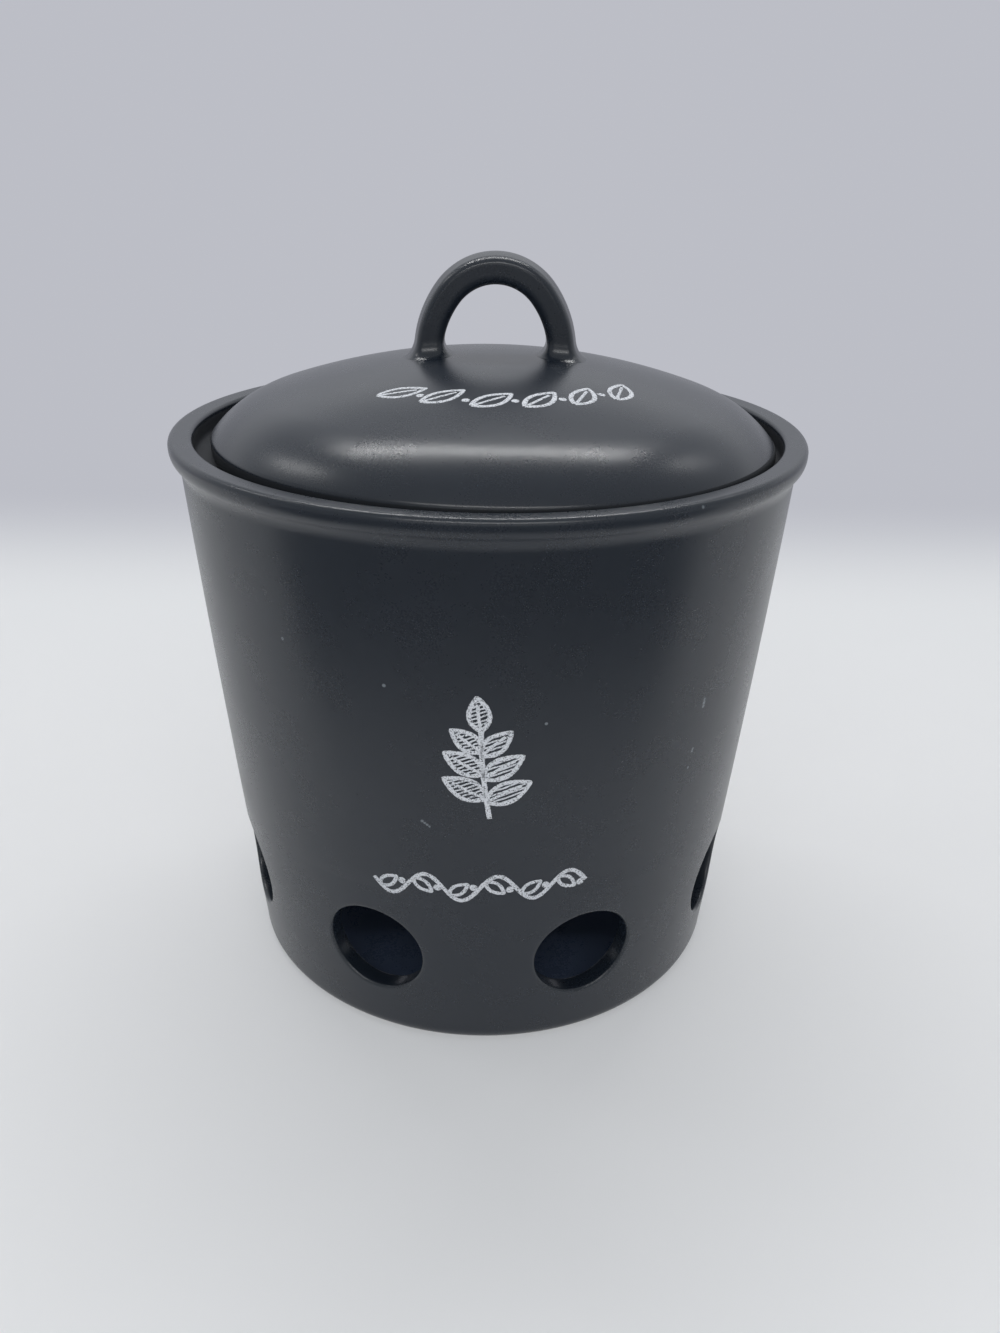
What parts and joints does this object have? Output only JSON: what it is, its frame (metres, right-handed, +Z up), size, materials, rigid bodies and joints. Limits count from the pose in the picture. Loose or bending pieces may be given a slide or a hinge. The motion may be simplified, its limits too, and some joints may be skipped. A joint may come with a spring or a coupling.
{
  "type": "garlic keeper",
  "caption": "Tapered stoneware garlic keeper with a rolled rim, round air vents near the foot, and a domed lift-off lid with an arched handle.",
  "frame": {"origin": "centre of the pot's foot, on the surface it stands on", "axes": "+Z up along the pot's axis towards the lid; -Y is the front, between two vents; +X to the right seen from the front, along the handle's span"},
  "size_m": [0.14, 0.14, 0.1639],
  "materials": {
    "charcoal_glaze": "satin"
  },
  "bodies": {
    "pot": {"pot": "charcoal_glaze"},
    "lid": {"lid": "charcoal_glaze", "lid_handle": "charcoal_glaze"}
  },
  "joints": [
    {"name": "lid_lift", "type": "slide", "parent": "pot", "child": "lid", "axis": [0, 0, 1], "range_m": [0, 0.15]}
  ]
}
